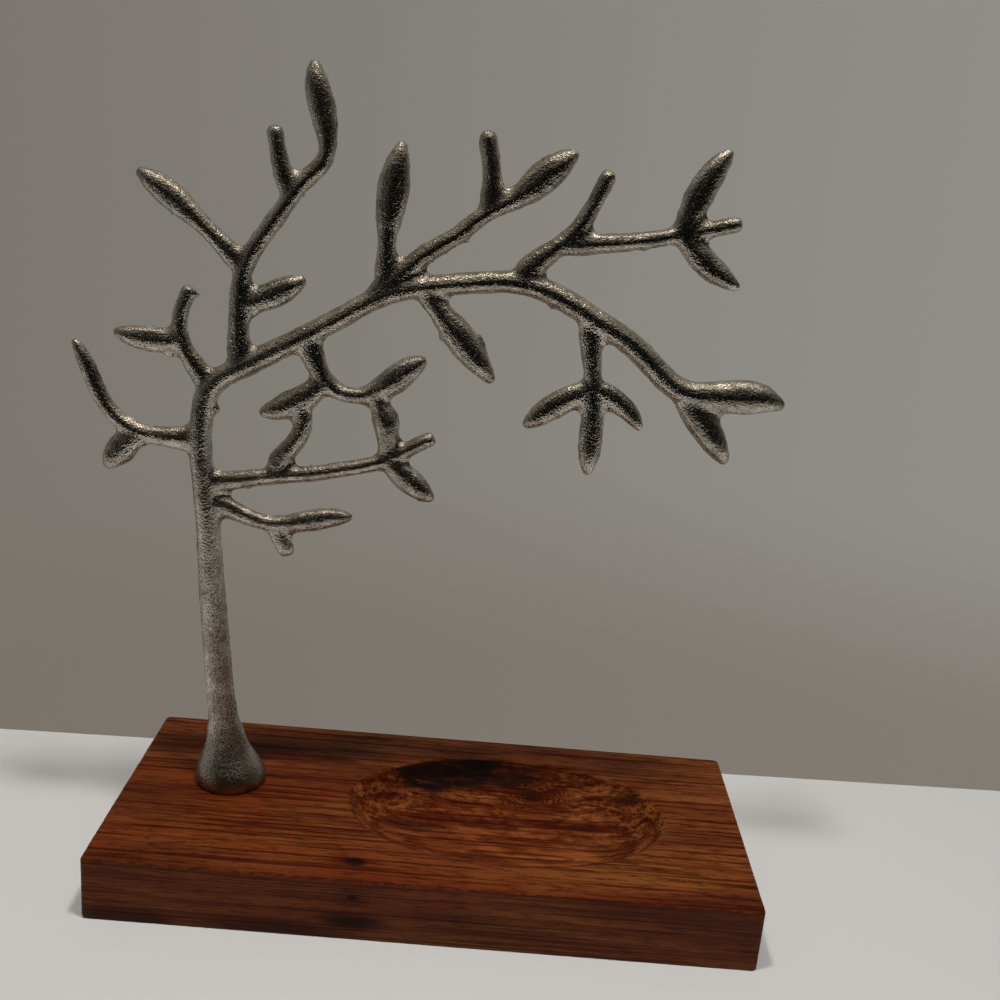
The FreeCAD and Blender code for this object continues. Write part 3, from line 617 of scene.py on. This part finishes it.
def castTree():
    shape = bmesh.new()
    shape.from_mesh(bpy.data.objects["cast_tree"].data)
    bmesh.ops.remove_doubles(shape, verts=shape.verts, dist=1e-6)
    for x, z, size in cast["flash"] + cast["webs"]:  # the larger nibs that the mould left, and the webs
        spot = Matrix.Translation(Vector((x, cast["partingLine"], z)) * mm)
        bmesh.ops.create_icosphere(shape, subdivisions=2, radius=size * mm, matrix=spot)
    mesh = bpy.data.meshes.new("castTree")
    shape.to_mesh(mesh)
    shape.free()
    piece = bpy.data.objects.new("castTree", mesh)
    bpy.context.scene.collection.objects.link(piece)
    for kind, settings in (
            ("REMESH", dict(mode="VOXEL", voxel_size=cast["voxel"] * mm)),
            ("SMOOTH", dict(factor=0.5, iterations=cast["even"])),
            ("DISPLACE", dict(strength=cast["crotchRound"] * mm, mid_level=0.0)),
            ("REMESH", dict(mode="VOXEL", voxel_size=cast["skinVoxel"] * mm)),
            ("DISPLACE", dict(strength=(cast["swell"] - cast["crotchRound"]) * mm, mid_level=0.0)),
            ("SMOOTH", dict(factor=0.5, iterations=3))):
        layer = piece.modifiers.new(kind.lower(), kind)
        for key, value in settings.items():
            setattr(layer, key, value)
    return piece


grown = castTree()
sandSkin(grown, castMetal)
bake(grown, castMetal, smoothAngle=80)
treeLow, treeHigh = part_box("cast_tree")
neckAlong, neckUp, neckReach, neckShare = cast["neck"]
for point in grown.data.vertices:
    away = math.hypot(point.co.x / mm - neckAlong, point.co.z / mm - neckUp) / neckReach
    point.co.x -= neckShare * max(0.0, 1 - away ** 2) ** 2 * (point.co.x - neckAlong * mm)
    # the grain stays within the casting's size
    point.co = [min(max(value, a), b) for value, a, b in zip(point.co, treeLow, treeHigh)]
grown.data.update()
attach(grown, "root")
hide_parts("cast_tree")
print("tree made:", len(grown.data.polygons), "faces")

# the screw from below, with a thread wound on its shank
screw = dict(
    at=(-86.0, 7.5), seat=7.4, tip=37.4, headRadius=6.0, coreRadius=2.5, thread=0.5, pitch=1.0,
    threadFrom=3.5, bareEnds=4.5,                    # where the thread starts, and the length without it
    dome=((0.01, 3.2), (2.2, 3.26), (3.9, 3.5), (5.0, 3.95), (5.7, 4.6)),   # the head, radius and height
    recess=(6.2, 1.5, 2.3))                          # the cross, long, wide and deep


def threadWinding(piece, material):
    length = screw["tip"] - screw["seat"] - screw["bareEnds"]
    wanted = {"Core radius": screw["coreRadius"] * mm, "Thread depth": screw["thread"] * mm,
              "Length": length * mm, "Turns": length / screw["pitch"]}
    winding, sockets, given = newGroup("threadWinding", wanted)
    spiral = addNode(winding, "GeometryNodeCurveSpiral",
                     {"Rotations": given.outputs["Turns"], "Start Radius": given.outputs["Core radius"],
                      "End Radius": given.outputs["Core radius"], "Height": given.outputs["Length"],
                      "Resolution": 28})
    ridge = addNode(winding, "GeometryNodeCurvePrimitiveCircle",
                    {"Radius": given.outputs["Thread depth"], "Resolution": 4}, mode="RADIUS")
    wound = addNode(winding, "GeometryNodeCurveToMesh",
                    {"Curve": spiral.outputs[0], "Profile Curve": ridge.outputs[0], "Fill Caps": True})
    lift = (screw["at"][0] * mm, screw["at"][1] * mm, (screw["seat"] + screw["threadFrom"]) * mm)
    raisedUp = addNode(winding, "GeometryNodeTransform", {"Geometry": wound, "Translation": lift})
    both = addNode(winding, "GeometryNodeJoinGeometry", {"Geometry": raisedUp})
    winding.links.new(given.outputs["Geometry"], both.inputs["Geometry"])
    whole = addNode(winding, "GeometryNodeRealizeInstances", {"Geometry": both})
    coated = addNode(winding, "GeometryNodeSetMaterial", {"Geometry": whole, "Material": material})
    addNode(winding, "NodeGroupOutput", {"Geometry": coated})
    dress(piece, winding, sockets, wanted)


core, head, seat, tip = (screw[key] for key in ("coreRadius", "headRadius", "seat", "tip"))
pin = turned("fixingScrew", [*screw["dome"], (head, 5.5), (head, seat - 0.3), (head - 0.2, seat), (core + 0.3, seat),
                             (core, seat + 0.4), (core, tip - 1.2), (core - 0.9, tip), (0.01, tip)],
             steps=64, at=screw["at"])
long, wide, deep = screw["recess"]
crown = screw["dome"][0][1]
cross = [turned("cross", [(0.01, crown - deep), (0.01, crown + deep)], steps=4, at=screw["at"]) for turn in range(2)]
for turn, bar in enumerate(cross):
    half = (long / 2, wide / 2) if turn == 0 else (wide / 2, long / 2)
    corners = [(sx * half[0], sy * half[1]) for sx, sy in ((-1, -1), (1, -1), (1, 1), (-1, 1))]
    for k, point in enumerate(bar.data.vertices):
        point.co.x = (screw["at"][0] + corners[k % 4][0]) * mm
        point.co.y = (screw["at"][1] + corners[k % 4][1]) * mm
    cutAway(pin, bar)
threadWinding(pin, platedSteel)
bake(pin, platedSteel, smoothAngle=35)
for bar in cross:
    bpy.data.objects.remove(bar)
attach(pin, "root")
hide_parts("fixing_screw")

washer = dict(at=(-86.0, 7.5), inner=3.3, outer=9.0, low=7.4, high=9.0, soft=0.3)
inner, outer, bottom, upper, soft = (washer[key] for key in ("inner", "outer", "low", "high", "soft"))
ring = turned("flatWasher", [(inner, bottom + soft), (inner + soft, bottom), (outer - soft, bottom),
                             (outer, bottom + soft), (outer, upper - soft), (outer - soft, upper),
                             (inner + soft, upper), (inner, upper - soft), (inner, bottom + soft)],
             steps=72, at=washer["at"])
bake(ring, platedSteel, smoothAngle=35)
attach(ring, "root")
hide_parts("flat_washer")
print("screw and washer made")

# the pale table top, which ends a little way behind the block
table = dict(left=-1.6, right=1.6, front=-1.6, backLeft=0.028, backRight=0.143, tone="#cbc9c5")
floor = pieceFrom("tableTop", [(table["left"], table["front"], 0), (table["right"], table["front"], 0),
                               (table["right"], table["backRight"], 0), (table["left"], table["backLeft"], 0)],
                  [(0, 1, 2, 3)])
paint, tree, inMm, shader = newMaterial("paleTable")
shader.inputs["Base Color"].default_value = linear(table["tone"])
shader.inputs["Roughness"].default_value = 0.7
floor.data.materials.append(paint)


# a dark screen behind the camera and a dark cloth below it, seen only in the metal's reflections, where their glow is
# a painted reflection of the room
def onlyInReflections(card):
    card.visible_camera = card.visible_diffuse = card.visible_shadow = card.visible_transmission = False


screen = dict(radius=1.1, height=0.95, spread=125, steps=24, clothFrom=-0.26, clothLift=0.002)   # metres and degrees
bearings = [math.radians(screen["spread"] * (2 * k / screen["steps"] - 1)) for k in range(screen["steps"] + 1)]
rim = [(screen["radius"] * math.sin(b), -screen["radius"] * math.cos(b)) for b in bearings]
backScreen = pieceFrom("darkScreen", [(x, y, z) for z in (0.0, screen["height"]) for x, y in rim],
                       [(k, k + 1, k + 2 + screen["steps"], k + 1 + screen["steps"]) for k in range(screen["steps"])])
reach, edge, lift = screen["radius"], screen["clothFrom"], screen["clothLift"]
cloth = pieceFrom("darkCloth", [(-reach, -reach, lift), (reach, -reach, lift), (reach, edge, lift),
                                (-reach, edge, lift)], [(0, 1, 2, 3)])
# painted reflection: the felt glows, black straight ahead and paler towards the sides
reflectionFelt, tree, inMm, shader = newMaterial("glowingReflectionFelt")    # black straight ahead, paler towards the sides
apart = addNode(tree, "ShaderNodeSeparateXYZ", {"Vector": inMm})
bearing = addNode(tree, mathNode,
                  [apart.outputs["X"], addNode(tree, mathNode, [apart.outputs["Y"], -1.0], operation="MULTIPLY")],
                  operation="ARCTAN2")
paler = addNode(tree, mathNode,
                [addNode(tree, rangeNode, [bearing, -0.3, -1.9], interpolation_type="SMOOTHSTEP"),
                 addNode(tree, rangeNode, [bearing, 0.6, 2.0, 0.0, 0.5], interpolation_type="SMOOTHSTEP")],
                operation="ADD")
shade = addNode(tree, mixNode, {0: paler, 6: linear("#040404"), 7: linear("#77746d")}, data_type="RGBA")
shader.inputs["Base Color"].default_value = linear("#000000")
tree.links.new(shade.outputs[2], shader.inputs["Emission Color"])
shader.inputs["Emission Strength"].default_value = 1.0
for card in (backScreen, cloth):
    card.data.materials.append(reflectionFelt)
    onlyInReflections(card)

# a grey room, dimmer near the table, with a soft box above the block on the right and one on the left
roomTones = dict(left="#7b7770", right="#918f89", ceiling="#b0a89c", low="#7a7167", light="#5f5c57")
softBoxes = dict(size=0.14, power=8.5, glow=7.0, front=0.8, aim=(0, 0, 0.12),
                 at=dict(rightBox=(0.2, -0.2, 1.3), leftBox=(-0.28, -0.25, 1.45)))
world = bpy.data.worlds.new("greyRoom")
world.use_nodes = True
tree = world.node_tree
heading = addNode(tree, "ShaderNodeSeparateXYZ",
                  {"Vector": addNode(tree, "ShaderNodeTexCoord").outputs["Generated"]})
wall = addNode(tree, mixNode,
               {0: addNode(tree, rangeNode, [heading.outputs["X"], -0.5, 0.5], interpolation_type="SMOOTHSTEP"),
                6: linear(roomTones["left"]), 7: linear(roomTones["right"])}, data_type="RGBA")
rays = addNode(tree, "ShaderNodeLightPath")
seen = addNode(tree, mathNode, [rays.outputs["Is Camera Ray"], rays.outputs["Is Glossy Ray"]], operation="MAXIMUM")
# a paler ceiling
wall = addNode(tree, mixNode,
               {0: addNode(tree, rangeNode, [heading.outputs["Z"], 0.55, 0.85], interpolation_type="SMOOTHSTEP"),
                6: wall, 7: linear(roomTones["ceiling"])}, data_type="RGBA")
# dimmer near the table
wall = addNode(tree, mixNode,
               {0: addNode(tree, rangeNode, [heading.outputs["Z"], -0.24, -0.42, 0.0, 0.7],
                           interpolation_type="SMOOTHSTEP"), 6: wall, 7: linear(roomTones["low"])},
               data_type="RGBA")
# the room lights the stand less than the wall shows
room = addNode(tree, mixNode, {0: seen, 6: linear(roomTones["light"]), 7: wall}, data_type="RGBA")
tree.links.new(room.outputs[2], tree.nodes["Background"].inputs["Color"])
bpy.context.scene.world = world
glow, tree, inMm, shader = newMaterial("softBoxFront")
shader.inputs["Base Color"].default_value = linear("#000000")
shader.inputs["Emission Color"].default_value = linear("#fff4e4")
shader.inputs["Emission Strength"].default_value = softBoxes["glow"]
size, reach = softBoxes["size"], softBoxes["size"] * softBoxes["front"]
for name, at in softBoxes["at"].items():
    lamp = bpy.data.lights.new(name, "AREA")
    lamp.shape, lamp.size, lamp.energy, lamp.color = "SQUARE", size, softBoxes["power"], linear("#ffffff")[:3]
    box = bpy.data.objects.new(name, lamp)
    box.location, box.visible_glossy = at, False     # no hot spots in the metal or on the oiled wood
    box.rotation_euler = (Vector(softBoxes["aim"]) - Vector(at)).to_track_quat("-Z", "Y").to_euler()
    bpy.context.scene.collection.objects.link(box)
    tilt = box.rotation_euler.to_matrix()
    glint = pieceFrom(name + "Front", [tilt @ Vector((x * reach, y * reach, 0)) + box.location
                                       for x, y in ((-1, -1), (1, -1), (1, 1), (-1, 1))], [(0, 1, 2, 3)])
    glint.data.materials.append(glow)
    onlyInReflections(glint)

# the camera stands where the photo was taken from
eye = dict(at=(0.01309, -0.43119, 0.28791), yaw=0.456, down=16.694, roll=4.826, lens=42.47)
yaw, down, roll = (math.radians(eye[k]) for k in ("yaw", "down", "roll"))
ahead = Vector((math.sin(yaw) * math.cos(down), math.cos(yaw) * math.cos(down), -math.sin(down)))
level = Vector((math.cos(yaw), -math.sin(yaw), 0))
levelUp = level.cross(ahead)
right = math.cos(roll) * level + math.sin(roll) * levelUp
above = -math.sin(roll) * level + math.cos(roll) * levelUp
lens = bpy.data.cameras.new("camera")
lens.sensor_width, lens.lens, lens.clip_start, lens.clip_end = 36.0, eye["lens"], 0.01, 20.0
camera = bpy.data.objects.new("camera", lens)
camera.matrix_world = Matrix.Translation(Vector(eye["at"])) @ Matrix((right, above, -ahead)).transposed().to_4x4()
bpy.context.scene.collection.objects.link(camera)
bpy.context.scene.camera = camera
bpy.context.scene.view_settings.view_transform = "Standard"

bpy.context.view_layer.update()
print("scene finished")
